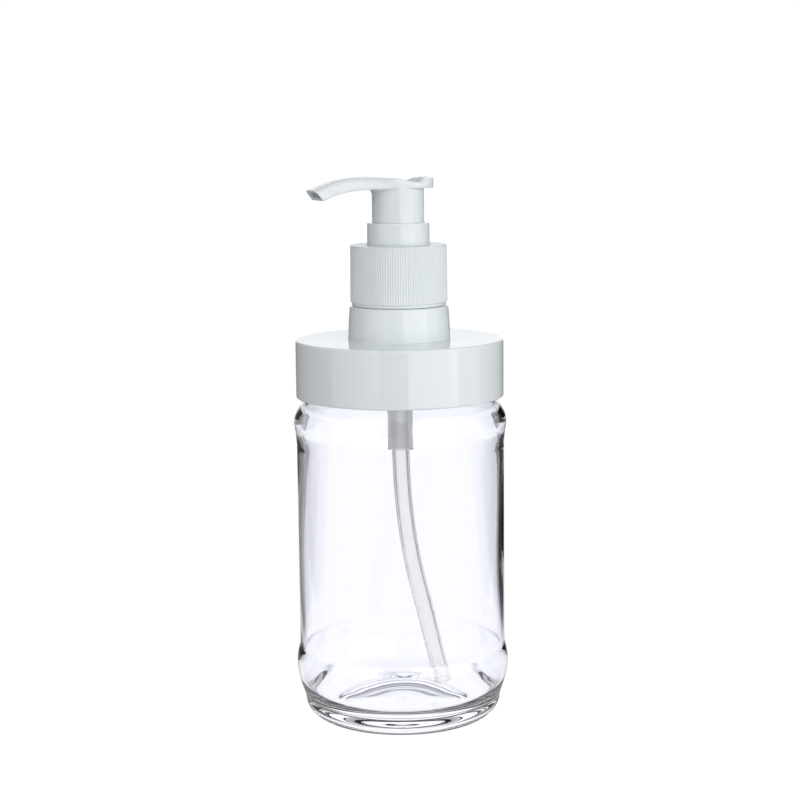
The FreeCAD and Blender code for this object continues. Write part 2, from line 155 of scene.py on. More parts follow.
class Track:
    """A smooth value along a length, through a few (place, value) pairs."""

    def __init__(self, pairs: Sequence[Point]) -> None:
        """Keeps the pairs in order of place and works out a slope at each.

        Args:
            pairs: The places and the value at each.
        """
        ordered = sorted(pairs)
        self.places = np.array([place for place, _ in ordered], float)
        self.values = np.array([value for _, value in ordered], float)
        gaps = np.diff(self.values) / np.diff(self.places)
        slopes = np.concatenate([[gaps[0]], (gaps[1:] + gaps[:-1]) / 2, [gaps[-1]]])
        flat = gaps[1:] * gaps[:-1] <= 0
        slopes[1:-1][flat] = 0.0
        self.slopes = slopes

    def __call__(self, place: float) -> float:
        """Finds the value at a place.

        Args:
            place: A place along the length; past either end the value stays level.

        Returns:
            The value.
        """
        x = float(np.clip(place, self.places[0], self.places[-1]))
        i = int(np.clip(np.searchsorted(self.places, x) - 1, 0, len(self.places) - 2))
        width = self.places[i + 1] - self.places[i]
        t = (x - self.places[i]) / width
        lead = (self.values[i] * (1 + 2 * t) * (1 - t) ** 2
                + self.values[i + 1] * t * t * (3 - 2 * t))
        bend = self.slopes[i] * t * (1 - t) ** 2 - self.slopes[i + 1] * t * t * (1 - t)
        return float(lead + bend * width)


def eased(value: float, low: float, high: float) -> float:
    """A smooth step from 0 at low to 1 at high."""
    t = min(1.0, max(0.0, (value - low) / (high - low)))
    return t * t * (3 - 2 * t)


def mesh_object(name: str, vertices: np.ndarray, faces: list[tuple[int, ...]],
                crease_deg: float = CREASE_DEG) -> bpy.types.Object:
    """Makes an object from vertices in millimetres, shaded smooth except at sharp edges.

    Args:
        name: The piece's name.
        vertices: One row of x, y, z for each vertex.
        faces: Vertex numbers for each face.
        crease_deg: The angle above which an edge is shaded sharp.

    Returns:
        The new object, linked to the scene.
    """
    mesh = bpy.data.meshes.new(name)
    mesh.from_pydata((np.asarray(vertices, float) * MM).tolist(), [], faces)
    mesh.validate()
    piece = bpy.data.objects.new(name, mesh)
    bpy.context.scene.collection.objects.link(piece)
    shade(piece, crease_deg)
    return piece


def shade(piece: bpy.types.Object, crease_deg: float) -> None:
    """Points all faces outwards and shades them smooth.

    Args:
        piece: The object.
        crease_deg: The angle above which an edge is shaded sharp.
    """
    work = bmesh.new()
    work.from_mesh(piece.data)
    bmesh.ops.recalc_face_normals(work, faces=work.faces)
    limit = math.radians(crease_deg)
    for face in work.faces:
        face.smooth = True
    for edge in work.edges:
        edge.smooth = edge.calc_face_angle(0.0) < limit
    work.to_mesh(piece.data)
    work.free()


def ring_faces(rings: int, around: int, closed: bool) -> list[tuple[int, ...]]:
    """The quads that join rows of a grid which closes round each row.

    Args:
        rings: How many rows.
        around: How many vertices in each row.
        closed: Whether the last row joins the first.

    Returns:
        The faces.
    """
    faces = []
    for i in range(rings if closed else rings - 1):
        a = i * around
        b = ((i + 1) % rings) * around
        for j in range(around):
            k = (j + 1) % around
            faces.append((a + j, a + k, b + k, b + j))
    return faces


def turned(name: str, outline: Sequence[Point], around: int, closed: bool = True,
           shift: Optional[Shift] = None, crease_deg: float = CREASE_DEG) -> bpy.types.Object:
    """Turns an outline round the axis, with the radius changed by a function if there is one.

    Args:
        name: The piece's name.
        outline: (radius, height) pairs; an open one starts and ends on the axis.
        around: How many steps there are round the axis.
        closed: Whether the outline closes on itself.
        shift: Gives the change of radius from the angles, the radius and the height.
        crease_deg: The angle above which an edge is shaded sharp.

    Returns:
        The new object.
    """
    angles = np.arange(around) * FULL_TURN / around
    body = list(outline) if closed else list(outline[1:-1])
    rows = []
    for radius, height in body:
        radii = np.full(around, radius, float)
        if shift is not None:
            radii = radii + shift(angles, radius, height)
        rows.append(np.stack([radii * np.cos(angles), radii * np.sin(angles),
                              np.full(around, height, float)], axis=1))
    vertices = np.concatenate(rows)
    faces = ring_faces(len(body), around, closed)
    if not closed:
        first, last = len(vertices), len(vertices) + 1
        ends = np.array([[0, 0, outline[0][1]], [0, 0, outline[-1][1]]], float)
        vertices = np.concatenate([vertices, ends])
        top = (len(body) - 1) * around
        for j in range(around):
            k = (j + 1) % around
            faces.append((first, k, j))
            faces.append((last, top + j, top + k))
    return mesh_object(name, vertices, faces, crease_deg)


def swept(name: str, path: np.ndarray, radii: Sequence[float], around: int,
          crease_deg: float = CREASE_DEG) -> bpy.types.Object:
    """Sweeps a round bar along a path, with flat ends.

    Args:
        name: The piece's name.
        path: One row of x, y, z for each point of the path.
        radii: The bar's radius at each point.
        around: How many sides the bar has.
        crease_deg: The angle above which an edge is shaded sharp.

    Returns:
        The new object.
    """
    tangents = np.gradient(path, axis=0)
    tangents /= np.linalg.norm(tangents, axis=1)[:, None]
    side = np.cross(tangents[0], [0.0, 1.0, 0.0])
    angles = np.arange(around) * FULL_TURN / around
    rows = []
    for spot, tangent, radius in zip(path, tangents, radii):
        side = side - tangent * np.dot(side, tangent)
        side /= np.linalg.norm(side)
        up = np.cross(tangent, side)
        rows.append(spot + radius * (np.outer(np.cos(angles), side)
                                     + np.outer(np.sin(angles), up)))
    vertices = np.concatenate(rows)
    faces = ring_faces(len(rows), around, False)
    faces.append(tuple(range(around)))
    faces.append(tuple(range(len(vertices) - around, len(vertices)))[::-1])
    return mesh_object(name, vertices, faces, crease_deg)


@dataclass(frozen=True)
class Thread:
    """One screw thread ridge that stands out of a wall, or into a bore."""

    wall: float
    crest: float
    start: float
    turns: float
    pitch: float = 4.23
    foot: float = 2.2
    tip: float = 1.2
    fade_deg: float = 22.0

    def shift(self, angles: np.ndarray, radius: float, height: float) -> np.ndarray:
        """Raises the wall into the thread's ridge.

        Args:
            angles: The angles round the axis.
            radius: The wall's radius before the thread.
            height: The height.

        Returns:
            How far the wall moves at each angle.
        """
        if abs(radius - self.wall) > ON_WALL:
            return np.zeros_like(angles)
        result = np.zeros_like(angles)
        for lap in range(math.ceil(self.turns) + 1):
            along = angles / FULL_TURN + lap
            off = np.abs(height - self.start - self.pitch * along)
            rise = np.clip((self.foot / 2 - off) / (self.foot / 2 - self.tip / 2), 0, 1)
            fade = self.fade_deg / 360
            ends = np.clip(along / fade, 0, 1) * np.clip((self.turns - along) / fade, 0, 1)
            result = np.maximum(result, rise * ends)
        return result * (self.crest - self.wall)


# ---- shader nodes ----
class Graph:
    """Adds nodes to a node tree and links them."""

    def __init__(self, tree: bpy.types.NodeTree) -> None:
        """Takes the tree to work on."""
        self.tree = tree

    def node(self, kind: str, **settings: object) -> bpy.types.Node:
        """Adds a node.

        Args:
            kind: The node's type.
            settings: Its properties.

        Returns:
            The node.
        """
        made = self.tree.nodes.new(kind)
        for key, value in settings.items():
            setattr(made, key, value)
        return made

    def feed(self, socket: bpy.types.NodeSocket, value: object) -> None:
        """Gives a socket its value.

        Args:
            socket: An input.
            value: The output that is linked to it, or its constant.
        """
        if isinstance(value, bpy.types.NodeSocket):
            self.tree.links.new(value, socket)
        else:
            socket.default_value = value

    def math(self, operation: str, *values: object) -> bpy.types.NodeSocket:
        """Adds a sum.

        Args:
            operation: What is done with the values.
            values: Outputs or constants.

        Returns:
            The sum's result.
        """
        made = self.node("ShaderNodeMath", operation=operation)
        for socket, value in zip(made.inputs, values):
            self.feed(socket, value)
        return made.outputs[0]

    def ramp(self, value: bpy.types.NodeSocket, start: Point, end: Point,
             run: str = "SMOOTHSTEP") -> bpy.types.NodeSocket:
        """Adds a run from one value to another.

        Args:
            value: The value to go by.
            start: A value, and the result there.
            end: A second value, and the result there.
            run: The kind of run.

        Returns:
            The result.
        """
        made = self.node("ShaderNodeMapRange", interpolation_type=run)
        self.feed(made.inputs["Value"], value)
        for name, number in zip(("From Min", "To Min", "From Max", "To Max"), (*start, *end)):
            self.feed(made.inputs[name], number)
        return made.outputs["Result"]


class Effect(Enum):
    """The surface effects that materials share, each one a node group."""

    MOULDED_SKIN = "moulded_skin"
    GLASS_BODY = "glass_body"
    DRAWN_METAL = "drawn_metal"


class Group(Graph):
    """A node group with named inputs and outputs."""

    def __init__(self, effect: Effect, takes: dict[str, object], gives: Sequence[str]) -> None:
        """Starts the group.

        Args:
            effect: The effect that it is for.
            takes: Its inputs, with their usual values.
            gives: Its outputs.
        """
        super().__init__(bpy.data.node_groups.new(effect.value, "ShaderNodeTree"))
        for side, names in (("INPUT", takes), ("OUTPUT", gives)):
            for name in names:
                kind = "NodeSocketColor" if name == "Colour" else "NodeSocketFloat"
                socket = self.tree.interface.new_socket(name=name, in_out=side,
                                                        socket_type=kind)
                if side == "INPUT":
                    socket.default_value = takes[name]
        self.inputs = self.node("NodeGroupInput").outputs
        self.outputs = self.node("NodeGroupOutput").inputs
        self.place = self.node("ShaderNodeTexCoord").outputs["Object"]

    def noise(self, scale: object, detail: float,
              place: Optional[bpy.types.NodeSocket] = None) -> bpy.types.NodeSocket:
        """Adds noise.

        Args:
            scale: How fine it is, an output or a constant.
            detail: How many finer layers it has.
            place: Where it is sampled, if not at the plain place.

        Returns:
            Its value.
        """
        made = self.node("ShaderNodeTexNoise")
        self.feed(made.inputs["Detail"], detail)
        self.feed(made.inputs["Vector"], place or self.place)
        self.feed(made.inputs["Scale"], scale)
        return made.outputs["Fac"]

    def tint(self, amount: bpy.types.NodeSocket) -> None:
        """Gives the group's colour, made lighter or darker.

        Args:
            amount: By how much, around 1.
        """
        made = self.node("ShaderNodeHueSaturation")
        self.feed(made.inputs["Color"], self.inputs["Colour"])
        self.feed(made.inputs["Value"], amount)
        self.feed(self.outputs["Colour"], made.outputs["Color"])


def moulded_skin() -> Group:
    """Moulded plastic: fine skin texture, slow flow marks and a slightly uneven gloss.

    Returns:
        The effect's group.
    """
    group = Group(Effect.MOULDED_SKIN, {
        "Colour": (0.8, 0.8, 0.8, 1.0), "Colour Spread": 0.02, "Roughness": 0.2,
        "Roughness Spread": 0.05, "Grain Scale": 2500.0, "Flow Scale": 45.0,
    }, ("Colour", "Roughness", "Height"))
    inputs = group.inputs
    flow = group.noise(inputs["Flow Scale"], 3.0)
    grain = group.noise(inputs["Grain Scale"], 2.0)
    drift = group.math("SUBTRACT", flow, 0.5)
    group.tint(group.math("MULTIPLY_ADD", drift, inputs["Colour Spread"], 1.0))
    uneven = group.math("ADD", group.math("SUBTRACT", grain, 0.5), drift)
    group.feed(group.outputs["Roughness"], group.math(
        "MULTIPLY_ADD", uneven, inputs["Roughness Spread"], inputs["Roughness"]))
    group.feed(group.outputs["Height"], group.math("MULTIPLY_ADD", grain, 0.35, flow))
    return group


def glass_body() -> Group:
    """Blown glass: long slow waves with a few faint vertical streaks.

    Returns:
        The effect's group.
    """
    group = Group(Effect.GLASS_BODY, {"Wave Scale": 40.0, "Streak": 0.35, "Haze": 0.02},
                  ("Height", "Roughness"))
    stretch = group.node("ShaderNodeMapping")
    group.feed(stretch.inputs["Scale"], (1.0, 1.0, 0.18))
    group.feed(stretch.inputs["Vector"], group.place)
    wave = group.noise(group.inputs["Wave Scale"], 1.0)
    streak = group.noise(130.0, 1.0, stretch.outputs["Vector"])
    group.feed(group.outputs["Height"],
               group.math("MULTIPLY_ADD", streak, group.inputs["Streak"], wave))
    spots = group.math("MAXIMUM", group.math("SUBTRACT", group.noise(60.0, 4.0), 0.55), 0.0)
    group.feed(group.outputs["Roughness"], group.math("MULTIPLY", spots, group.inputs["Haze"]))
    return group


def drawn_metal() -> Group:
    """Drawn or rolled metal: fine lines along the wire and slight stains.

    Returns:
        The effect's group.
    """
    group = Group(Effect.DRAWN_METAL, {
        "Colour": (0.6, 0.6, 0.6, 1.0), "Roughness": 0.2, "Line Scale": 6000.0,
    }, ("Colour", "Roughness", "Height"))
    stain = group.noise(250.0, 3.0)
    group.tint(group.math("MULTIPLY_ADD", stain, 0.16, 0.92))
    group.feed(group.outputs["Roughness"], group.math(
        "MULTIPLY_ADD", group.math("SUBTRACT", stain, 0.4), 0.12, group.inputs["Roughness"]))
    group.feed(group.outputs["Height"], group.noise(group.inputs["Line Scale"], 2.0))
    return group


BUILDERS = {
    Effect.MOULDED_SKIN: moulded_skin,
    Effect.GLASS_BODY: glass_body,
    Effect.DRAWN_METAL: drawn_metal,
}


def effect_tree(effect: Effect) -> bpy.types.ShaderNodeTree:
    """The node group for an effect, built the first time that it is asked for."""
    return bpy.data.node_groups.get(effect.value) or BUILDERS[effect]().tree


def new_material(name: str) -> tuple[bpy.types.Material, bpy.types.Node]:
    """Makes a material with its usual shader.

    Args:
        name: The material's name.

    Returns:
        The material and its Principled BSDF node.
    """
    material = bpy.data.materials.new(name)
    material.use_nodes = True
    return material, material.node_tree.nodes["Principled BSDF"]


def add_effect(material: bpy.types.Material, shader: bpy.types.Node, effect: Effect,
               relief_mm: float, **values: object) -> None:
    """Places an effect's group in a material and feeds the shader from it.

    Args:
        material: The material.
        shader: Its shader.
        effect: The effect.
        relief_mm: How deep the effect's height makes the surface.
        values: The group's inputs, with _ for a space.
    """
    graph = Graph(material.node_tree)
    skin = graph.node("ShaderNodeGroup", node_tree=effect_tree(effect))
    for key, value in values.items():
        graph.feed(skin.inputs[key.replace("_", " ")], value)
    if "Colour" in skin.outputs:
        graph.feed(shader.inputs["Base Color"], skin.outputs["Colour"])
    graph.feed(shader.inputs["Roughness"], skin.outputs["Roughness"])
    bump = graph.node("ShaderNodeBump")
    graph.feed(bump.inputs["Distance"], relief_mm * MM)
    graph.feed(bump.inputs["Strength"], 1.0)
    graph.feed(bump.inputs["Height"], skin.outputs["Height"])
    graph.feed(shader.inputs["Normal"], bump.outputs["Normal"])


@dataclass(frozen=True)
class Plastic:
    """A moulded plastic finish."""

    name: str
    colour: Colour
    roughness: float
    roughness_spread: float = 0.05
    colour_spread: float = 0.02
    grain_scale: float = 2500.0
    flow_scale: float = 45.0
    relief_mm: float = 0.01
    clear: float = 0.0
    glow_depth_mm: float = 0.0
    ior: float = 1.49

    def make(self) -> bpy.types.Material:
        """Builds the material.

        Returns:
            The material.
        """
        material, shader = new_material(self.name)
        add_effect(material, shader, Effect.MOULDED_SKIN, self.relief_mm,
                   Colour=(*self.colour, 1.0), Colour_Spread=self.colour_spread,
                   Roughness=self.roughness, Roughness_Spread=self.roughness_spread,
                   Grain_Scale=self.grain_scale, Flow_Scale=self.flow_scale)
        shader.inputs["IOR"].default_value = self.ior
        shader.inputs["Transmission Weight"].default_value = self.clear
        if self.glow_depth_mm > 0:
            shader.inputs["Subsurface Weight"].default_value = 1.0
            shader.inputs["Subsurface Radius"].default_value = (1.0, 1.0, 1.0)
            shader.inputs["Subsurface Scale"].default_value = self.glow_depth_mm * MM
        return material


@dataclass(frozen=True)
class Glass:
    """A clear glass finish."""

    name: str
    colour: Colour = (1.0, 1.0, 1.0)
    ior: float = 1.5
    relief_mm: float = 0.05
    wave_scale: float = 40.0
    streak: float = 0.35

    def make(self) -> bpy.types.Material:
        """Builds the material.

        Returns:
            The material.
        """
        material, shader = new_material(self.name)
        add_effect(material, shader, Effect.GLASS_BODY, self.relief_mm,
                   Wave_Scale=self.wave_scale, Streak=self.streak)
        shader.inputs["Base Color"].default_value = (*self.colour, 1.0)
        shader.inputs["IOR"].default_value = self.ior
        shader.inputs["Transmission Weight"].default_value = 1.0
        return material


@dataclass(frozen=True)
class Metal:
    """A bare metal finish."""

    name: str
    colour: Colour
    roughness: float
    line_scale: float = 6000.0
    relief_mm: float = 0.004

    def make(self) -> bpy.types.Material:
        """Builds the material.

        Returns:
            The material.
        """
        material, shader = new_material(self.name)
        add_effect(material, shader, Effect.DRAWN_METAL, self.relief_mm,
                   Colour=(*self.colour, 1.0), Roughness=self.roughness,
                   Line_Scale=self.line_scale)
        shader.inputs["Metallic"].default_value = 1.0
        return material


class Finish(Enum):
    """Every finish on the dispenser."""

    JAR_GLASS = Glass("clear_jar_glass", (0.95, 0.955, 1.0))
    LID_WHITE = Plastic("glossy_lid_white", (0.785, 0.825, 0.845), 0.05, 0.02, relief_mm=0.004,
                        ior=1.46)
    PUMP_WHITE = Plastic("glossy_pump_white", (0.795, 0.83, 0.845), 0.07, 0.03, relief_mm=0.004,
                         glow_depth_mm=0.6, ior=1.46)
    COLLAR_WHITE = Plastic("satin_collar_white", (0.76, 0.80, 0.815), 0.3, relief_mm=0.004)
    HOUSING_NATURAL = Plastic("translucent_housing", (0.99, 1.0, 0.975), 0.3, clear=0.82,
                              colour_spread=0.05)
    TUBE_MILKY = Plastic("milky_tube", (1.0, 0.985, 0.965), 0.2, clear=0.94, ior=1.3)
    INNER_NATURAL = Plastic("natural_inner_moulding", (0.82, 0.82, 0.79), 0.4)
    SEAL_NATURAL = Plastic("soft_seal_plastic", (0.74, 0.79, 0.82), 0.45)
    GASKET_RUBBER = Plastic("gasket_rubber", (0.78, 0.77, 0.73), 0.6, grain_scale=1600.0)
    FOAM = Plastic("liner_foam", (0.86, 0.86, 0.83), 0.75, grain_scale=1200.0, relief_mm=0.04)
    SPRING_STEEL = Metal("drawn_spring_steel", (0.62, 0.62, 0.63), 0.28)
    BALL_STEEL = Metal("polished_ball_steel", (0.72, 0.73, 0.74), 0.08, line_scale=3000.0)

    def material(self) -> bpy.types.Material:
        """The finish's material, built the first time that it is asked for."""
        found = bpy.data.materials.get(self.value.name)
        return found or self.value.make()


def dress(piece: bpy.types.Object, finish: Finish, body: str, node: str) -> None:
    """Gives a piece its finish and its place in the assembly.

    Args:
        piece: The piece.
        finish: Its finish.
        body: The body that it rides on.
        node: The CAD node that it stands for.
    """
    piece.data.materials.clear()
    piece.data.materials.append(finish.material())
    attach(piece, body)
    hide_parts(node)
    LOG.info("%s on %s: %d faces", piece.name, body, len(piece.data.polygons))


@dataclass(frozen=True)
class Moulding:
    """A plain turned part: its section, and how finely it is made."""

    name: str
    corners: Sequence[Corner]
    step: float
    around: int

    def make(self, finish: Finish, body: str, node: str, slot: str) -> None:
        """Turns the part and dresses it, as dress() says."""
        outline = divided(rounded(self.corners), self.step, True)
        dress(turned(self.name, outline, self.around), finish, body, node)


def washer(node: str, inner: float) -> list[Corner]:
    """The section of a flat ring in a CAD node's box.

    Args:
        node: The CAD node.
        inner: The ring's inner radius.

    Returns:
        The corners.
    """
    low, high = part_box(node)
    bottom, top, outer = low.z / MM, high.z / MM, high.x / MM
    return [(inner, bottom, 0.2), (outer, bottom, 0.2), (outer, top, 0.2), (inner, top, 0.2)]


# ---- jar ----
@dataclass(frozen=True)
class Jar:
    """The glass jar, with a shoulder ring, a heel ring, a thick base and a threaded neck."""

    body: float = 38.1
    inner: float = 36.4
    heel: float = 39.33
    shoulder: float = 39.0
    foot: float = 36.6
    bearing_in: float = 25.5
    bearing_out: float = 28.5
    push_up: float = 3.0
    floor: float = 6.2
    wall_foot: float = 27.0
    wall_top: float = 102.0
    inner_top: float = 101.0
    throat: Point = (35.7, 117.6)
    rim: float = 137.7
    neck: float = 33.7
    neck_foot: float = 120.4
    mouth: float = 29.8
    mouth_foot: float = 123.5
    thread: Thread = Thread(wall=33.7, crest=35.2, start=126.0, turns=1.25)
    around: int = 360
    knurls: int = 120
    knurl_depth: float = 0.12
    swells: tuple[float, float] = (0.10, 0.05)

    def outline(self) -> list[Point]:
        """The jar's section, from the middle of its underside round to its inner floor.

        Returns:
            The section as (radius, height) pairs.
        """
        outside = flowing([(0, self.push_up), (6, self.push_up - 0.1), (12, 2.5), (21, 1.2),
                           (self.bearing_in, 0.0)], 1.0)
        outside += flowing([(self.bearing_out, 0.0), (32.6, 1.2), (35.6, 4.2),
                            (self.foot, 8.6)], 0.5)
        outside += flowing([(self.foot, 8.6), (37.8, 12.0), (39.0, 16.5), (self.heel, 20.5),
                            (38.9, 24.3), (self.body, self.wall_foot)], 0.6)[1:]
        outside += divided([(self.body, self.wall_foot), (self.body, self.wall_top)], 1.5,
                           False)[1:]
        outside += flowing([(self.body, self.wall_top), (38.5, 106.5), (self.shoulder, 110.4),
                            (38.3, 113.4), (37.1, 115.6), self.throat], 0.5)[1:]
        neck = rounded([self.throat, (self.neck, self.neck_foot, 0.5),
                        (self.neck, self.rim, 1.1), (self.mouth, self.rim, 1.1),
                        (self.mouth, self.mouth_foot)], closed=False)
        outside += divided(neck, 0.3, False)[1:]
        inside = flowing([(self.mouth, self.mouth_foot), (30.4, 121.6), (31.9, 119.6),
                          (33.9, 117.2), (35.9, 114.4), (36.9, 110.6), (36.85, 106.0),
                          (self.inner, self.inner_top)], 0.5)[1:]
        inside += divided([(self.inner, self.inner_top), (self.inner, self.wall_foot)], 1.5,
                          False)[1:]
        inside += flowing([(self.inner, self.wall_foot), (37.1, 23.5), (37.4, 19.5),
                           (37.0, 15.5), (35.6, 11.8), (33.0, 8.9), (29.5, 6.8), (24.0, 5.5),
                           (18.0, 5.3), (9.0, 5.9), (0, self.floor)], 0.6)[1:]
        return outside + inside

    def unevenness(self, angles: np.ndarray, radius: float, height: float) -> np.ndarray:
        """The thread outside the neck, the waves of the inner wall and the knurled foot.

        Args:
            angles: The angles round the axis.
            radius: The section's radius.
            height: The height.

        Returns:
            How far the surface moves at each angle.
        """
        if height > self.neck_foot - 1.4:
            return self.thread.shift(angles, radius, height)
        if self.is_inner(radius, height):
            swell = self.swells[0] * np.sin(2 * angles + 0.05 * height + 0.4)
            swell += self.swells[1] * np.sin(5 * angles - 0.09 * height)
            return swell * eased(height, 14.0, 26.0) * (1 - eased(height, 102.0, 113.0))
        if height < 0.6 and self.bearing_in < radius < self.bearing_out + 3:
            return self.knurl_depth * np.sin(self.knurls * angles)
        return np.zeros_like(angles)

    def is_inner(self, radius: float, height: float) -> bool:
        """Whether a point of the section is on the inner wall."""
        return 14.0 < height < 113.0 and radius < 37.5

    def build(self) -> None:
        """Builds the jar and dresses it."""
        piece = turned("glass_jar", self.outline(), self.around, False, self.unevenness)
        dress(piece, Finish.JAR_GLASS, "jar", "jar")


# ---- lid ----
@dataclass(frozen=True)
class Lid:
    """The wide screw lid, its boss and the neck that the pump screws onto."""

    radius: float = 38.0
    bottom: float = 119.7
    top: float = 140.7
    wall: float = 1.8
    plate: float = 2.0
    boss_foot: float = 18.8
    boss_head: float = 18.0
    boss_top: float = 152.9
    neck: float = 14.2
    bore: float = 12.3
    neck_top: float = 169.6
    liner_bore: float = 29.9
    jar_thread: Thread = Thread(wall=36.2, crest=34.5, start=124.35, turns=1.0)
    pump_thread: Thread = Thread(wall=14.2, crest=15.2, start=157.5, turns=1.5)
    around: int = 360

    def outline(self) -> list[Point]:
        """The lid's section.

        Returns:
            The section as (radius, height) pairs.
        """
        inner = self.radius - self.wall
        ceiling = self.top - self.plate
        boss_bore = self.boss_foot - 2.2
        corners = [
            (inner, self.bottom, 0.3),
            (self.radius, self.bottom, 0.5),
            (self.radius, self.top, 1.1),
            (self.boss_foot, self.top + 0.1, 0.35),
            (self.boss_head, self.boss_top, 0.9),
            (self.neck, self.boss_top, 0.2),
            (self.neck, self.neck_top, 0.3),
            (self.bore, self.neck_top, 0.3),
            (self.bore, self.boss_top - self.plate, 0.3),
            (boss_bore - 0.6, self.boss_top - self.plate, 0.8),
            (boss_bore, ceiling, 0.5),
            (inner, ceiling, 0.6),
        ]
        return divided(rounded(corners), 0.4, True)

    def threads(self, angles: np.ndarray, radius: float, height: float) -> np.ndarray:
        """The ridge inside the skirt and the ridge round the neck.

        Args:
            angles: The angles round the axis.
            radius: The section's radius.
            height: The height.

        Returns:
            How far the surface moves at each angle.
        """
        thread = self.pump_thread if height > self.boss_top else self.jar_thread
        return thread.shift(angles, radius, height)

    def build(self) -> None:
        """Builds the lid and its liner."""
        lid = turned("screw_lid", self.outline(), self.around, True, self.threads)
        dress(lid, Finish.LID_WHITE, "lid", "lid")
        liner = Moulding("jar_liner", washer("lid_liner", self.liner_bore), 1.0, 180)
        liner.make(Finish.FOAM, "lid_seal", "lid_liner", "foam_liner")


# ---- collar ----
@dataclass(frozen=True)
class Collar:
    """The ribbed screw collar."""

    radius: float = 17.6
    draft: float = 0.1
    lip: float = 17.15
    bottom: float = 153.05
    band_foot: float = 154.3
    top: float = 174.9
    plate: float = 2.3
    bore: float = 15.75
    hole: float = 11.65
    ribs: int = 120
    rib_depth: float = 0.18
    steps_per_rib: int = 10
    thread: Thread = Thread(wall=15.75, crest=14.6, start=155.85, turns=1.0)

    def outline(self) -> list[Point]:
        """The collar's section.

        Returns:
            The section as (radius, height) pairs.
        """
        corners = [
            (self.bore, self.bottom, 0.2),
            (self.lip, self.bottom, 0.3),
            (self.lip, self.band_foot, 0.1),
            (self.radius, self.band_foot + 0.1, 0.25),
            (self.radius, self.top, 0.35),
            (self.hole, self.top, 0.25),
            (self.hole, self.top - self.plate, 0.2),
            (self.bore, self.top - self.plate, 0.5),
        ]
        return divided(rounded(corners), 0.5, True)

    def surface(self, angles: np.ndarray, radius: float, height: float) -> np.ndarray:
        """The ribs outside, which die out at both ends, and the thread inside.

        Args:
            angles: The angles round the axis.
            radius: The section's radius.
            height: The height.

        Returns:
            How far the surface moves at each angle.
        """
        if radius < self.bore + 0.1:
            return self.thread.shift(angles, radius, height)
        if radius < self.radius - 0.35 or height < self.band_foot:
            return np.zeros_like(angles)
        taper = self.draft * (1 - 2 * (height - self.band_foot) / (self.top - self.band_foot))
        depth = self.rib_depth * min(eased(height, self.band_foot, self.band_foot + 0.5),
                                     1 - eased(height, self.top - 0.7, self.top - 0.3))
        groove = 0.5 - 0.5 * np.cos(self.ribs * angles)
        return taper - depth * groove

    def build(self) -> None:
        """Builds the collar and dresses it."""
        piece = turned("ribbed_collar", self.outline(), self.ribs * self.steps_per_rib, True,
                       self.surface, 50.0)
        dress(piece, Finish.COLLAR_WHITE, "collar", "collar")


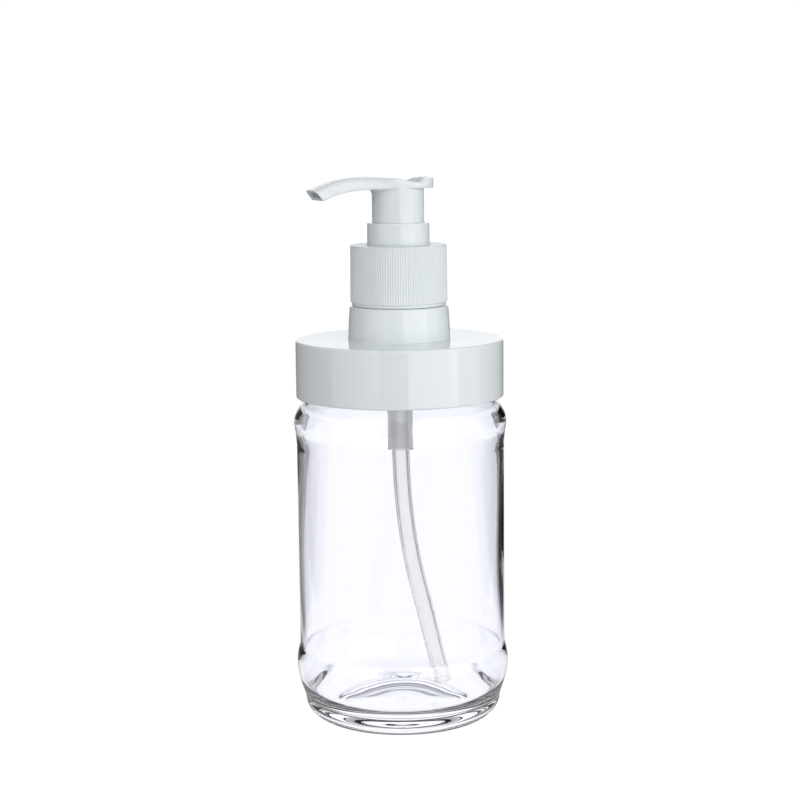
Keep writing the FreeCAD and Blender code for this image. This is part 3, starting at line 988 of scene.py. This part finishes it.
# ---- pump, fixed parts ----
@dataclass(frozen=True)
class PumpBody:
    """The pump's parts that stay with its housing."""

    ring_radius: float = 11.33
    ring_top: float = 182.9
    well: float = 9.75
    tube_radius: float = 3.2
    tube_bore: float = 2.2
    tube_top: float = 108.5
    bend_start: float = 100.5
    bend_radius: float = 225.0
    lean_deg: float = 13.5
    end_run: float = 38.6
    heading_deg: float = -21.0
    stroke: float = 9.8
    wire: float = 0.45
    coil: float = 4.35
    turns: float = 7.5

    def build(self) -> None:
        """Builds the fixed parts of the pump."""
        self.lock_ring()
        self.housing()
        self.seals()
        self.ball_cage()
        self.dip_tube()
        self.spring()

    def lock_ring(self) -> None:
        """The smooth ring on top, with the well that takes the head's skirt."""
        corners = [
            (10.8, 165.6, 0.3), (10.8, 172.5, 0.1), (self.ring_radius, 172.5, 0.1),
            (self.ring_radius, self.ring_top, 0.55), (self.well, self.ring_top, 0.3),
            (self.well, 167.4, 0.5), (3.75, 167.4, 0.3), (3.75, 165.6, 0.2),
        ]
        Moulding("lock_ring_moulding", corners, 0.8, 240).make(
            Finish.PUMP_WHITE, "pump", "lock_ring", "pump_plastic")

    def housing(self) -> None:
        """The pump cylinder, from its flange and cup down to the tube socket."""
        corners = [
            (3.25, 100.9, 0.15), (4.8, 100.9, 0.25), (4.8, 101.8, 0.15), (4.6, 102.1, 0.2),
            (4.6, 121.0, 1.5), (7.3, 129.0, 2.0), (7.3, 162.8, 0.6), (11.4, 162.8, 0.8),
            (12.1, 163.7, 0.4), (12.1, 170.75, 0.2), (14.2, 170.75, 0.25),
            (14.2, 172.45, 0.25), (10.9, 172.45, 0.2), (10.9, 164.4, 0.3), (6.0, 164.4, 0.3),
            (6.0, 128.5, 0.3), (1.6, 124.5, 0.1), (1.6, 123.5, 0.1), (2.6, 122.5, 0.2),
            (2.6, 108.6, 0.1), (3.25, 108.6, 0.1),
        ]
        Moulding("pump_cylinder", corners, 0.8, 160).make(
            Finish.HOUSING_NATURAL, "pump", "pump_housing", "housing_plastic")

    def seals(self) -> None:
        """The washer under the housing's flange and the wiper round the stem."""
        for name, node, inner in (("neck_gasket", "housing_gasket", 12.15),
                                  ("stem_wiper", "stem_seal", 3.45)):
            Moulding(name, washer(node, inner), 0.6, 160).make(
                Finish.GASKET_RUBBER, "pump", node, "seal_rubber")

    def ball_cage(self) -> None:
        """The cage over the inlet ball keeps its CAD shape, with its own finish."""
        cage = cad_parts["ball_cage"]
        cage.data.materials.clear()
        cage.data.materials.append(Finish.INNER_NATURAL.material())

    def tube_path(self, spacing: float = 1.0) -> np.ndarray:
        """The dip tube's centre line, from its socket to its open end.

        Args:
            spacing: The distance between points.

        Returns:
            One row of x, y, z for each point.
        """
        heading = np.array([math.cos(math.radians(self.heading_deg)),
                            math.sin(math.radians(self.heading_deg)), 0.0])
        down = np.array([0.0, 0.0, -1.0])
        top = np.array([0.0, 0.0, self.tube_top])
        drop = self.tube_top - self.bend_start
        path = [top + down * s for s in np.arange(0, drop, spacing)]
        lean = math.radians(self.lean_deg)
        for angle in np.linspace(0, lean, math.ceil(self.bend_radius * lean / spacing)):
            across = self.bend_radius * (1 - math.cos(angle))
            path.append(top + down * (drop + self.bend_radius * math.sin(angle))
                        + heading * across)
        end = path[-1]
        way = down * math.cos(lean) + heading * math.sin(lean)
        path += [end + way * s for s in np.arange(spacing, self.end_run + 0.01, spacing)]
        return np.array(path)

    def dip_tube(self) -> None:
        """The milky tube, with its bore."""
        path = self.tube_path()
        outside = swept("dip_tube_outside", path, [self.tube_radius] * len(path), 48)
        reach = path.copy()
        reach[0] += np.array([0.0, 0.0, 1.0])
        reach[-1] += reach[-1] - reach[-2]
        inside = swept("dip_tube_bore", reach, [self.tube_bore] * len(path), 48)
        piece = combined("dip_tube_milky", outside, [], [inside])
        dress(piece, Finish.TUBE_MILKY, "pump", "dip_tube")

    def spring(self) -> None:
        """The coil spring between the cage and the piston rod's foot."""
        low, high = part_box("return_spring")
        bottom, top = low.z / MM + self.wire, high.z / MM - self.wire
        t = np.linspace(0, 1, 40 * int(self.turns + 1))
        angles = FULL_TURN * self.turns * t
        path = np.stack([self.coil * np.cos(angles), self.coil * np.sin(angles),
                         bottom + (top - bottom) * t], axis=1)
        piece = swept("coil_spring", path, [self.wire] * len(path), 16)
        dress(piece, Finish.SPRING_STEEL, "pump", "return_spring")
        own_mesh(piece)


def combined(name: str, base: bpy.types.Object, added: Sequence[bpy.types.Object],
             removed: Sequence[bpy.types.Object], crease_deg: float = CREASE_DEG
             ) -> bpy.types.Object:
    """Joins closed meshes into one, cuts others away, and deletes the ones used.

    Args:
        name: The result's name.
        base: The mesh to start from.
        added: Meshes joined to it.
        removed: Meshes cut out of it.
        crease_deg: The angle above which an edge is shaded sharp.

    Returns:
        The finished object.
    """
    for operation, tools in (("UNION", added), ("DIFFERENCE", removed)):
        for tool in tools:
            modifier = base.modifiers.new(tool.name, "BOOLEAN")
            modifier.operation = operation
            modifier.solver = "EXACT"
            modifier.object = tool
    view = bpy.context.evaluated_depsgraph_get()
    mesh = bpy.data.meshes.new_from_object(base.evaluated_get(view))
    base.modifiers.clear()
    base.data = mesh
    base.name = name
    mesh.name = name
    for tool in [*added, *removed]:
        bpy.data.objects.remove(tool)
    shade(base, crease_deg)
    return base


# ---- pump, moving parts ----
@dataclass(frozen=True)
class MovingParts:
    """The piston, the rod and stem that drive it, and the two valve balls."""

    step: float = 0.6
    around: int = 96
    ball_bands: int = 40
    ball_around: int = 64

    def build(self) -> None:
        """Builds the moving parts inside the pump."""
        rod = [
            (1.3, 150.0, 0.1), (2.95, 150.0, 0.3), (2.95, 154.9, 0.2), (4.8, 154.9, 0.25),
            (4.8, 156.15, 0.25), (2.95, 156.15, 0.2), (2.95, 164.35, 0.15),
            (2.15, 164.35, 0.1), (2.15, 174.0, 0.2), (1.3, 174.0, 0.1),
        ]
        seal = [
            (3.0, 156.2, 0.1), (5.2, 156.2, 0.1), (5.95, 156.5, 0.15), (5.95, 157.4, 0.2),
            (5.2, 158.6, 0.4), (5.2, 161.95, 0.4), (5.95, 163.15, 0.2), (5.95, 164.35, 0.15),
            (3.0, 164.35, 0.1),
        ]
        stem = [
            (2.2, 164.4, 0.1), (3.4, 164.4, 0.15), (3.4, 191.0, 0.2), (2.4, 191.0, 0.1),
            (2.4, 188.0, 0.15), (1.2, 186.8, 0.1), (1.2, 186.0, 0.1), (2.2, 186.0, 0.2),
        ]
        for name, corners, place in (
                ("piston_rod_moulding", rod,
                 (Finish.INNER_NATURAL, "actuator", "piston_rod", "inner_plastic")),
                ("piston_lip_seal", seal,
                 (Finish.SEAL_NATURAL, "piston", "piston_seal", "seal_plastic")),
                ("hollow_stem", stem,
                 (Finish.INNER_NATURAL, "actuator", "pump_stem", "inner_plastic"))):
            Moulding(name, corners, self.step, self.around).make(*place)
        self.ball("inlet_valve_ball", "inlet_ball", "inlet_valve")
        self.ball("outlet_valve_ball", "discharge_ball", "outlet_valve")

    def ball(self, name: str, node: str, body: str) -> None:
        """Makes a polished ball where the CAD ball is.

        Args:
            name: The piece's name.
            node: The CAD node.
            body: The body that it rides on.
        """
        low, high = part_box(node)
        radius = (high.z - low.z) / 2 / MM
        middle = (high.z + low.z) / 2 / MM
        bands = self.ball_bands
        arc = [(radius * math.sin(math.pi * i / bands),
                middle - radius * math.cos(math.pi * i / bands)) for i in range(bands + 1)]
        piece = turned(name, arc, self.ball_around, False)
        dress(piece, Finish.BALL_STEEL, body, node)


# ---- actuator head ----
@dataclass(frozen=True)
class Head:
    """The actuator head: a drooping box-like spout, a dished thumb pad and a skirt.

    Each Track gives a line of its shape along the reach of the spout.
    """

    tip: float = 34.15
    tip_slope: float = 0.83
    bevel: float = 0.12
    back: float = -13.25
    pad_centre: float = -3.4
    pad_length: float = 9.85
    pad_width: float = 9.8
    rim_width: float = 1.1
    lip: float = 0.9
    dish_floor: float = 196.3
    wall: float = 0.75
    skirt_radius: float = 9.5
    web_radius: float = 2.2
    web_foot: float = 193.0
    section_steps: int = 41
    crown: Track = Track([
        (34.15, 195.25), (31.5, 196.25), (27.0, 197.95), (21.0, 199.3), (16.0, 199.63),
        (11.5, 199.6), (6.3, 199.3), (-14.0, 199.2)])
    underside: Track = Track([
        (34.15, 190.2), (31.5, 191.25), (27.0, 193.0), (21.0, 194.45), (16.0, 195.0),
        (11.5, 195.1), (6.0, 195.1), (-4.0, 195.2), (-14.0, 195.35)])
    half_width: Track = Track([
        (34.15, 5.55), (27.0, 5.6), (21.0, 5.7), (16.0, 5.95), (12.0, 6.45), (9.0, 7.15),
        (6.0, 8.05), (3.0, 8.95), (0.0, 9.6), (-3.4, 9.8)])
    rim: Track = Track([
        (12.0, 199.6), (6.3, 199.25), (3.5, 198.95), (1.4, 198.5), (-1.3, 197.85),
        (-5.0, 197.5), (-7.5, 198.05), (-9.2, 198.7), (-11.8, 199.15), (-14.0, 199.2)])
    sides: Track = Track([(34.15, 5.0), (22.0, 4.2), (12.0, 3.4), (6.0, 4.0)])

    def width_at(self, reach: float) -> float:
        """Half the head's width at a reach.

        Args:
            reach: The distance from the axis along the spout.

        Returns:
            The half width.
        """
        if reach > self.pad_centre:
            return self.half_width(reach)
        along = (reach - self.pad_centre) / self.pad_length
        return self.pad_width * math.sqrt(max(0.0, 1 - along * along))

    def pad_top(self, reach: float, y: float) -> float:
        """The dished top, with its rounded lip.

        Args:
            reach: The distance from the axis along the spout.
            y: The distance to the side.

        Returns:
            The height.
        """
        along = (reach - self.pad_centre) / (self.pad_length - self.rim_width)
        beside = y / (self.pad_width - self.rim_width)
        spread = math.hypot(along, beside)
        rim = self.rim(reach)
        depth = (rim - self.dish_floor) * (1 - eased(spread, 0.25, 1.04))
        gap = self.edge_distance(reach, y)
        fall = self.lip - math.sqrt(max(0.0, self.lip ** 2 - max(0.0, self.lip - gap) ** 2))
        return rim - depth - fall

    def edge_distance(self, reach: float, y: float) -> float:
        """How far a point is inside the pad's outline, seen from above.

        Args:
            reach: The distance from the axis along the spout.
            y: The distance to the side.

        Returns:
            The distance to the outline.
        """
        if reach > self.pad_centre:
            return self.half_width(reach) - abs(y)
        along = (reach - self.pad_centre) / self.pad_length
        return (1 - math.hypot(along, y / self.pad_width)) * self.pad_width

    def section(self, reach: float, inset: float = 0.0) -> np.ndarray:
        """One closed section across the head, sheared near the tip so that it ends slanted.

        Args:
            reach: The section's distance from the axis along the spout.
            inset: How far inside the outer surface it lies.

        Returns:
            One row of x, y, z for each point round the section.
        """
        half = max(0.0, self.width_at(reach) - inset)
        crown = self.crown(reach)
        shear = eased(reach, 23.0, self.tip) * self.tip_slope
        low = self.underside(reach)
        for _ in range(20):
            low = self.underside(reach - shear * (crown - low))
        power = 2 / self.sides(reach)
        padness = eased(-reach, -9.0, -3.5)
        soft = min(0.25, half)
        rows = []
        for angle in np.linspace(0.0, math.pi, self.section_steps):
            v = math.copysign(abs(math.cos(angle)) ** power, math.cos(angle))
            rise = abs(math.sin(angle)) ** power
            spout = crown - inset - 0.06 * (crown - low) * v * v
            dished = self.pad_top(reach, v * half) if padness > 0 else spout
            if 0 < angle < math.pi - 1e-9:
                rise = rise * (1 - padness) + padness
            else:
                rise = 0.0
            height = spout * (1 - padness) + dished * padness
            base = low + inset + (soft if rise == 0.0 else 0.0)
            rows.append((v * half, base + rise * (height - base)))
        for share in (0.3, 1.0):
            rows.append((-half + soft * share, low + inset + soft * (1 - share) ** 2))
        for share in (1.0, 0.3):
            rows.append((half - soft * share, low + inset + soft * (1 - share) ** 2))
        return np.array([(-(reach - shear * (crown - z)), y, z) for y, z in rows])

    def shell(self) -> bpy.types.Object:
        """Makes the spout and pad, with the channel open at the tip.

        Returns:
            One closed mesh.
        """
        start = -4.0
        bevel = self.bevel
        rows = [self.section(self.tip, bevel), self.section(self.tip - bevel)]
        rows += [self.section(reach) for reach in np.linspace(self.tip - 0.6, start, 96)]
        turn = np.sin(np.linspace(0, math.pi / 2, 44)[1:])
        rows += [self.section(start + (self.back - start) * t) for t in turn]
        channel = [self.section(reach, self.wall)
                   for reach in np.linspace(9.5, self.tip - bevel, 40)]
        channel.append(self.section(self.tip, self.wall - bevel))
        rings = channel + rows
        around = len(rings[0])
        vertices = np.concatenate(rings)
        faces = ring_faces(len(rings), around, False)
        faces.append(tuple(range(around)))
        faces.append(tuple(range(len(vertices) - around, len(vertices)))[::-1])
        return mesh_object("head_shell", vertices, faces)

    def flare(self, angles: np.ndarray, radius: float, height: float) -> np.ndarray:
        """The curved web where the skirt runs up into the spout's underside.

        Args:
            angles: The angles round the axis.
            radius: The section's radius.
            height: The height.

        Returns:
            How far the skirt moves out at each angle.
        """
        if abs(radius - self.skirt_radius) > ON_WALL or height <= self.web_foot:
            return np.zeros_like(angles)
        rise = min(height - self.web_foot, self.web_radius)
        reach = self.web_radius - math.sqrt(max(0.0, self.web_radius ** 2 - rise ** 2))
        off = np.degrees(np.abs(angles - math.pi))
        share = np.clip((33.0 - off) / 12.0, 0, 1)
        return reach * share * share * (3 - 2 * share)

    def skirt(self) -> bpy.types.Object:
        """Makes the skirt that runs into the lock ring, with the stem's socket inside.

        Returns:
            The skirt.
        """
        corners = [
            (8.3, 180.9, 0.2), (self.skirt_radius, 180.9, 0.4), (self.skirt_radius, 195.6),
            (1.7, 195.6), (1.7, 191.05, 0.1), (3.42, 191.05, 0.1), (3.42, 184.0, 0.25),
            (5.0, 184.0, 0.3), (5.0, 192.2, 0.4), (8.3, 192.2, 0.4),
        ]
        return turned("head_skirt", divided(rounded(corners), 0.22, True), 240, True,
                      self.flare)

    def build(self) -> None:
        """Builds the head and dresses it."""
        piece = combined("pump_head", self.shell(), [self.skirt()], [])
        dress(piece, Finish.PUMP_WHITE, "actuator", "actuator_head")


# ---- studio ----
@dataclass(frozen=True)
class Studio:
    """The pale floor, the soft light and the camera."""

    azimuth_deg: float = -24.0
    camera_run: float = 672.0
    camera_height: float = 217.7
    pitch_deg: float = 8.45
    roll_deg: float = 0.6
    lens: float = 83.25
    floor_glow: float = 0.42
    through_glow: float = 1.09
    floor_half_width: float = 0.048
    white: float = 1.02

    def away(self, azimuth_deg: float, run: float, height: float) -> Vector:
        """A place seen from the axis, at an azimuth counted from the camera, in metres."""
        angle = math.radians(self.azimuth_deg + azimuth_deg)
        return Vector((run * math.sin(angle), -run * math.cos(angle), height))

    def camera(self) -> None:
        """The camera, level apart from a slight tilt to one side."""
        data = bpy.data.cameras.new("camera")
        data.lens = self.lens
        data.sensor_width = 36.0
        data.clip_start = 0.01
        camera = bpy.data.objects.new("camera", data)
        bpy.context.scene.collection.objects.link(camera)
        turn = Matrix.Rotation(math.radians(self.azimuth_deg), 4, "Z")
        tilt = Matrix.Rotation(math.radians(90 - self.pitch_deg), 4, "X")
        roll = Matrix.Rotation(math.radians(-self.roll_deg), 4, "Z")
        place = self.away(0, self.camera_run * MM, self.camera_height * MM)
        camera.matrix_world = Matrix.Translation(place) @ turn @ tilt @ roll
        bpy.context.scene.camera = camera

    def facing(self, graph: Graph, kind: str) -> bpy.types.bpy_prop_collection:
        """Adds a texture place turned so that its Y runs straight back from the camera.

        Args:
            graph: The tree to add it to.
            kind: Which texture place it is.

        Returns:
            Its X, Y and Z.
        """
        turn = graph.node("ShaderNodeMapping")
        graph.feed(turn.inputs["Rotation"], (0, 0, math.radians(-self.azimuth_deg)))
        graph.feed(turn.inputs["Vector"], graph.node("ShaderNodeTexCoord").outputs[kind])
        split = graph.node("ShaderNodeSeparateXYZ")
        graph.feed(split.inputs["Vector"], turn.outputs["Vector"])
        return split.outputs

    def floor(self) -> None:
        """A pale floor that runs back from the camera and fades into the backdrop."""
        near = [self.away(-50, 0.9, 0), self.away(50, 0.9, 0)]
        back = self.away(180, 4.0, 0)
        corners = [near[0], near[1], near[1] + back, near[0] + back]
        mesh = bpy.data.meshes.new("floor")
        mesh.from_pydata([tuple(corner) for corner in corners], [], [(0, 1, 2, 3)])
        floor = bpy.data.objects.new("floor", mesh)
        bpy.context.scene.collection.objects.link(floor)
        material, shader = new_material("pale_floor")
        graph = Graph(material.node_tree)
        rays = graph.node("ShaderNodeLightPath").outputs
        place = self.facing(graph, "Object")
        beside = graph.math("ABSOLUTE", place["X"])
        spread = graph.math("SUBTRACT", beside, graph.math("MULTIPLY", place["Y"], 0.2))
        strip = graph.ramp(spread, (self.floor_half_width, 1.0),
                           (self.floor_half_width * 1.6, 0.0))
        near_by = graph.ramp(place["Y"], (0.07, 1.0), (0.13, 0.0))
        card = graph.ramp(place["X"], (-0.01, 0.3), (0.01, 0.05))
        lit = graph.math("MAXIMUM", graph.math("MAXIMUM", strip, near_by), card)
        through = graph.ramp(rays["Is Transmission Ray"], (0.0, self.floor_glow),
                             (1.0, self.through_glow))
        direct = graph.math("MULTIPLY", rays["Is Camera Ray"], self.white)
        level = graph.math("MAXIMUM", graph.math("MULTIPLY", lit, through), direct)
        graph.feed(shader.inputs["Emission Color"], level)
        shader.inputs["Base Color"].default_value = (0.02, 0.02, 0.02, 1.0)
        shader.inputs["Roughness"].default_value = 0.9
        shader.inputs["Specular IOR Level"].default_value = 0.0
        shader.inputs["Emission Strength"].default_value = 1.0
        mesh.materials.append(material)

    def softbox(self, name: str, azimuths: tuple[float, float], run: float,
                heights: tuple[float, float], power: float) -> None:
        """A tall soft light that spans two azimuths as seen from the dispenser.

        Args:
            name: The light's name.
            azimuths: Its left and right edges, counted from the camera.
            run: Its distance from the axis, in metres.
            heights: Its lower and upper edges, in metres.
            power: Its power in watts.
        """
        left = self.away(azimuths[0], run, 0)
        right = self.away(azimuths[1], run, 0)
        data = bpy.data.lights.new(name, "AREA")
        data.shape = "RECTANGLE"
        data.size = (right - left).length
        data.size_y = heights[1] - heights[0]
        data.energy = power
        light = bpy.data.objects.new(name, data)
        bpy.context.scene.collection.objects.link(light)
        middle = (left + right) / 2 + Vector((0, 0, sum(heights) / 2))
        aim = Vector((0, 0, middle.z)) - middle
        light.location = middle
        light.rotation_euler = aim.to_track_quat("-Z", "Y").to_euler()

    def surroundings(self) -> None:
        """A bright backdrop, dark cards at the sides, and a soft ceiling."""
        world = bpy.data.worlds.new("studio")
        bpy.context.scene.world = world
        world.use_nodes = True
        world.node_tree.nodes.clear()
        graph = Graph(world.node_tree)
        place = self.facing(graph, "Generated")
        bearing = graph.math("ARCTAN2", place["X"], place["Y"])
        round_about = graph.node("ShaderNodeValToRGB")
        graph.feed(round_about.inputs["Fac"],
                   graph.math("MULTIPLY_ADD", bearing, 1 / FULL_TURN, 0.5))
        self.paint_round(round_about.color_ramp)
        blend = graph.node("ShaderNodeMix", data_type="RGBA")
        graph.feed(blend.inputs["Factor"],
                   graph.ramp(place["Z"], (0.35, 0.0), (0.8, 1.0), "LINEAR"))
        graph.feed(blend.inputs["A"], round_about.outputs["Color"])
        graph.feed(blend.inputs["B"], (0.50, 0.51, 0.52, 1.0))
        lit = graph.node("ShaderNodeBackground")
        graph.feed(lit.inputs["Color"], blend.outputs["Result"])
        graph.feed(lit.inputs["Strength"], 1.0)
        rays = graph.node("ShaderNodeLightPath").outputs
        through = rays["Is Transmission Ray"]
        seen = graph.node("ShaderNodeBackground")
        graph.feed(seen.inputs["Color"], (1.0, 1.0, 1.0, 1.0))
        graph.feed(seen.inputs["Strength"], graph.ramp(
            through, (0.0, self.white), (1.0, self.through_glow), "LINEAR"))
        mixed = graph.node("ShaderNodeMixShader")
        graph.feed(mixed.inputs["Fac"], graph.math("MAXIMUM", rays["Is Camera Ray"], through))
        graph.feed(mixed.inputs[1], lit.outputs["Background"])
        graph.feed(mixed.inputs[2], seen.outputs["Background"])
        output = graph.node("ShaderNodeOutputWorld")
        graph.feed(output.inputs["Surface"], mixed.outputs["Shader"])

    def paint_round(self, ramp: bpy.types.ColorRamp) -> None:
        """Sets how bright the surroundings are at each bearing, 0.5 being straight behind.

        Args:
            ramp: The ramp to set.
        """
        levels = [(0.0, 0.15), (0.27, 0.15), (0.445, 0.12), (0.458, 1.25), (0.542, 1.25),
                  (0.552, 0.02), (0.72, 0.02), (0.73, 1.0), (0.84, 1.0), (0.85, 0.15),
                  (1.0, 0.15)]
        while len(ramp.elements) > 1:
            ramp.elements.remove(ramp.elements[-1])
        ramp.elements[0].position = levels[0][0]
        for index, (position, level) in enumerate(levels):
            stop = ramp.elements[0] if index == 0 else ramp.elements.new(position)
            stop.color = (0.97 * level, level, 1.03 * level, 1.0)

    def build(self) -> None:
        """Sets up the whole studio."""
        self.camera()
        self.floor()
        self.surroundings()
        self.softbox("soft_left", (-78.0, -21.0), 0.7, (0.0, 0.75), 1.55)
        self.softbox("soft_right", (9.2, 65.0), 0.7, (0.0, 0.75), 2.95)
        bpy.context.scene.view_settings.view_transform = "Standard"


def main() -> None:
    """Builds the dispenser from the jar up, then the studio."""
    logging.basicConfig(level=logging.INFO, format="%(name)s: %(message)s")
    for assembly in (Jar(), Lid(), Collar(), PumpBody(), MovingParts(), Head()):
        assembly.build()
        LOG.info("%s done", type(assembly).__name__)
    Studio().build()


if __name__ == "__main__":
    main()
